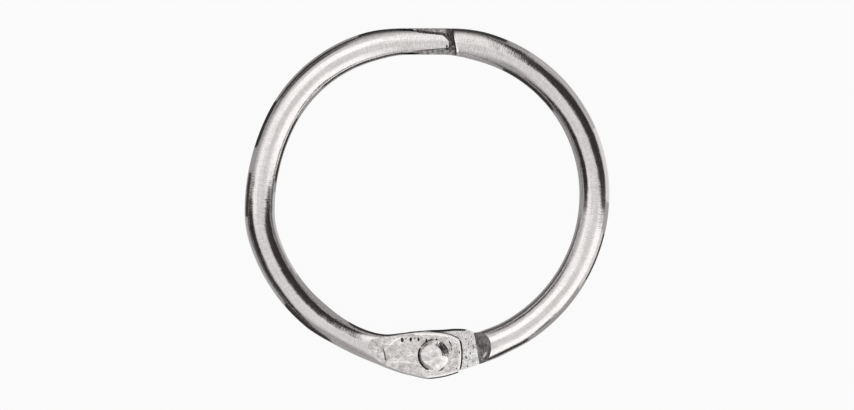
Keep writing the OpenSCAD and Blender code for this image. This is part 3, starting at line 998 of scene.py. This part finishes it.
def studio_world():
    world = bpy.data.worlds.new("studio")
    world.use_nodes = True
    nodes = Nodes(world.node_tree)
    background = world.node_tree.nodes["Background"]
    direction = nodes.new("ShaderNodeTexCoord").outputs["Generated"]
    split = nodes.new("ShaderNodeSeparateXYZ")
    nodes.fill(split.inputs[0], direction)
    x, y, z = split.outputs
    azimuth = nodes.math("DEGREES", nodes.math("ARCTAN2", y, x))
    height = nodes.math("DEGREES", nodes.math("ARCSINE", z))
    level = nodes.ramp(height, -SKIRT_TOP / 2, SKIRT_TOP, SKIRT, ZENITH)
    for *panel, brightness in STUDIO:
        level = nodes.mix(wall_patch(nodes, azimuth, height, *panel), level, brightness)
    seen = nodes.new("ShaderNodeLightPath").outputs["Is Camera Ray"]
    cool = nodes.mix(seen, nodes.ramp(level, 0, WARM_BELOW, WARM_DARK, 1.0), 1.0)
    nodes.fill(background.inputs["Color"], nodes.vector(1.0, cool, cool))
    nodes.fill(background.inputs["Strength"], nodes.mix(seen, level, 1.0))
    bpy.context.scene.world = world


FLOOR_HALF_W, FLOOR_THICK = 400, 1
FLOOR_COLOUR = (0.46, 0.46, 0.455, 1)
# Share of plain white in what the camera sees of the table, and in what metal shows of it
FLOOR_TO_CAMERA, FLOOR_IN_METAL = 0.94, 0.1


def pale_floor():
    """A pale table that stays white to the camera and keeps the object's shadow."""
    w = FLOOR_HALF_W
    floor = made("floor", prism([(-w, -w), (w, -w), (w, w), (-w, w)], -FLOOR_THICK, 0))
    floor.data.transform(Matrix.Scale(MM, 4))
    material = bpy.data.materials.new("pale_table")
    material.use_nodes = True
    nodes = Nodes(material.node_tree)
    material.node_tree.nodes.clear()
    matt = nodes.new("ShaderNodeBsdfDiffuse")
    matt.inputs["Color"].default_value = FLOOR_COLOUR
    white = nodes.new("ShaderNodeEmission")
    path = nodes.new("ShaderNodeLightPath")
    seen = nodes.math("MAXIMUM", path.outputs["Is Glossy Ray"], path.outputs["Is Transmission Ray"])
    share = nodes.math(
        "ADD", nodes.math("MULTIPLY", path.outputs["Is Camera Ray"], FLOOR_TO_CAMERA),
        nodes.math("MULTIPLY", seen, FLOOR_IN_METAL))
    mix = nodes.new("ShaderNodeMixShader")
    nodes.fill(mix.inputs[0], share)
    nodes.fill(mix.inputs[1], matt.outputs[0])
    nodes.fill(mix.inputs[2], white.outputs[0])
    output = nodes.new("ShaderNodeOutputMaterial")
    nodes.fill(output.inputs[0], mix.outputs[0])
    floor.data.materials.append(material)


# Cards laid flat round the wire, which only the metal sees: how pale each one is (above white it is
# lit), the compass angles from and to, and how far both edges are from the middle of the ring
CARDS = [
    (0.04, 64, 112, 19.6, 36), (0.05, 112, 146, 22.5, 60), (0.04, 146, 162, 19.4, 30),
    (0.05, 170, 184, 21, 70), (0.06, 184, 216, 27, 70), (0.04, 216, 236, 18.8, 60),
    (0.04, 288, 306, 19.8, 34), (0.04, 306, 315, 32, 150), (0.05, 334, 350, 19.4, 21.6),
    (0.05, -5, 24, 36, 80), (0.05, -10, 56, 17.2, 18.4), (0.05, 184, 212, 17.2, 17.8),
    (0.05, 236, 268, 8, 14.3), (0.05, 272, 292, 8, 13.5), (0.15, 292, 356, 1, 12.4),
    (0.04, 36, 60, 3, 15), (0.04, 8, 36, 3, 9), (0.03, 92, 132, 9.4, 14.2),
    (0.05, 136, 146, 9.8, 11.2), (0.03, 146, 172, 11, 14.6), (0.04, 172, 198, 0.5, 9.5),
    (0.04, 198, 236, 0.5, 5), (1, 284, 306, 42, 90), (1, 330, 350, 22, 70),
    (1.4, 92, 168, 0.5, 8.6), (0.9, 64, 90, 0.5, 8.6), (0.6, 238, 264, 18.5, 60),
    (0.6, -10, 0, 18.4, 36), (1.05, 0, 24, 18.4, 36), (0.75, 24, 56, 18.4, 60),
    (0.65, 184, 212, 17.8, 22), (0.9, 176, 208, 12.6, 15),
]
CARD_Z = 0.05
CARD_WHITE = 0.8
CARD_STEPS = 12
DARK_CARD = 0.3


def table_cards():
    for number, (tone, first, last, near, far) in enumerate(CARDS, 1):
        bm = bmesh.new()
        a = math.radians(first)
        start = [bm.verts.new((r * math.cos(a), r * math.sin(a), CARD_Z)) for r in (near, far)]
        edge = bm.edges.new(start)
        bmesh.ops.spin(bm, geom=[edge] + start, cent=(0, 0, 0), axis=(0, 0, 1),
                       angle=math.radians(last - first), steps=CARD_STEPS)
        bmesh.ops.recalc_face_normals(bm, faces=bm.faces)
        material = bpy.data.materials.new(f"card_{number}")
        material.use_nodes = True
        shader = material.node_tree.nodes["Principled BSDF"]
        own = min(tone, CARD_WHITE)
        cool = own * (WARM_DARK if tone < DARK_CARD else 1)
        shader.inputs["Base Color"].default_value = (own, cool, cool, 1)
        shader.inputs["Roughness"].default_value = 1
        shader.inputs["Emission Color"].default_value = (1, 1, 1, 1)
        shader.inputs["Emission Strength"].default_value = tone - own
        card = made(f"card_{number}", bm, material)
        card.data.transform(Matrix.Scale(MM, 4))
        card.visible_camera = card.visible_diffuse = card.visible_shadow = False


table_cards()
studio_world()
pale_floor()

# ---------------------------------------------------------------- camera
PIXEL = 0.104
PICTURE_W, PICTURE_H = 854, 410
ORIGIN_PIXEL = (427.0, 203.5)
LENS_DISTANCE = 700
middle = Vector(((PICTURE_W / 2 - ORIGIN_PIXEL[0]) * PIXEL,
                 (ORIGIN_PIXEL[1] - PICTURE_H / 2) * PIXEL, MID_Z))
lens = bpy.data.cameras.new("camera")
lens.sensor_width = 36
lens.lens = lens.sensor_width * LENS_DISTANCE / (PICTURE_W * PIXEL)
lens.clip_start = 0.01
camera = bpy.data.objects.new("camera", lens)
camera.location = (middle + Vector((0, 0, LENS_DISTANCE))) * MM
bpy.context.scene.collection.objects.link(camera)
bpy.context.scene.camera = camera
bpy.context.scene.view_settings.view_transform = "Standard"
